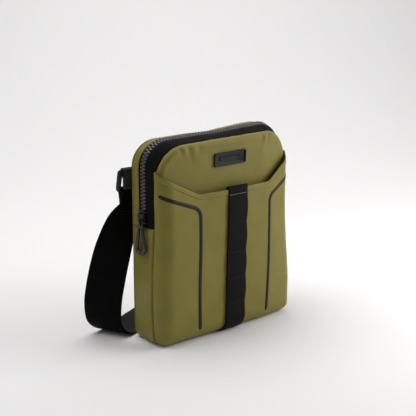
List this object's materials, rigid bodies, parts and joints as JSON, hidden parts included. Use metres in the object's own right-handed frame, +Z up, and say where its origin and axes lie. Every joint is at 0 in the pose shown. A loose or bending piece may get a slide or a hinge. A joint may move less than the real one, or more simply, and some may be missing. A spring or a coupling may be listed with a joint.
{
  "type": "crossbody purse",
  "caption": "Small upright zipped crossbody purse with a front slip pocket, centre webbing, a wide webbing strap on two rings and a strap slide.",
  "frame": {"origin": "middle of the base, on the surface the bag stands on", "axes": "+Z up, -Y out of the front pocket, +X to the right seen from the front"},
  "size_m": [0.2304, 0.17, 0.2017],
  "materials": {
    "olive_nylon": "coated twill, satin",
    "foam": "closed-cell foam board",
    "lining": "plain woven polyester, satin",
    "zip_tape": "herringbone woven tape",
    "zip_teeth": "moulded, satin",
    "black_metal": "satin black coat",
    "moulded_black": "soft matt",
    "bonded_stripe": "bonded film, satin",
    "black_webbing": "ribbed polyester webbing",
    "black_thread": "bonded thread",
    "olive_thread": "bonded thread",
    "black_plastic": "fine textured"
  },
  "bodies": {
    "bag": {"back_panel": "olive_nylon", "back_foam": "foam", "back_lining": "lining", "inner_pocket": "lining", "lower_gusset": "olive_nylon", "upper_gusset": "olive_nylon", "gusset_lining": "lining", "zip_tape_back": "zip_tape", "zip_tape_front_ends": "zip_tape", "zip_teeth_back": "zip_teeth", "zip_teeth_front_ends": "zip_teeth", "zip_stops": "zip_teeth", "front_panel_lower": "olive_nylon", "front_lining_lower": "lining", "pocket_panel_lower": "olive_nylon", "stripe_left": "bonded_stripe", "stripe_right": "bonded_stripe", "centre_webbing": "black_webbing", "webbing_bartacks": "black_thread", "tab_left": "black_webbing", "tab_right": "black_webbing", "tab_stitches_left": "olive_thread", "tab_stitches_right": "olive_thread"},
    "mouth": {"zip_tape_front": "zip_tape", "zip_teeth_front": "zip_teeth", "front_panel_upper": "olive_nylon", "front_lining_upper": "lining", "pocket_panel_upper": "olive_nylon", "stripe_left_top": "bonded_stripe", "stripe_right_top": "bonded_stripe", "centre_webbing_top": "black_webbing", "badge": "moulded_black"},
    "slider": {"zip_slider": "black_metal"},
    "pull": {"pull_link": "black_metal", "zip_pull": "moulded_black"},
    "strap": {"ring_left": "black_metal", "ring_right": "black_metal", "strap_webbing": "black_webbing", "strap_stitches": "black_thread"},
    "adjuster": {"strap_adjuster": "black_plastic"}
  },
  "joints": [
    {"name": "zip_travel", "type": "slide", "parent": "bag", "child": "slider", "axis": [0, 0, 1], "range_m": [0, 0.045]},
    {"name": "pull_swing", "type": "hinge", "parent": "slider", "child": "pull", "pos_m": [-0.09175, 0.0065, 0.1229], "axis": [0, 1, 0], "range_deg": [0, 110]},
    {"name": "mouth_fold", "type": "hinge", "parent": "bag", "child": "mouth", "pos_m": [0, -0.0286, 0.13386], "axis": [1, 0, 0], "range_deg": [0, 26]},
    {"name": "strap_swing", "type": "hinge", "parent": "bag", "child": "strap", "pos_m": [0, 0.0296, 0.1669], "axis": [1, 0, 0], "range_deg": [0, 155]},
    {"name": "adjuster_slide", "type": "slide", "parent": "strap", "child": "adjuster", "axis": [0, -0.4067, 0.9135], "range_m": [0, 0.034]}
  ]
}
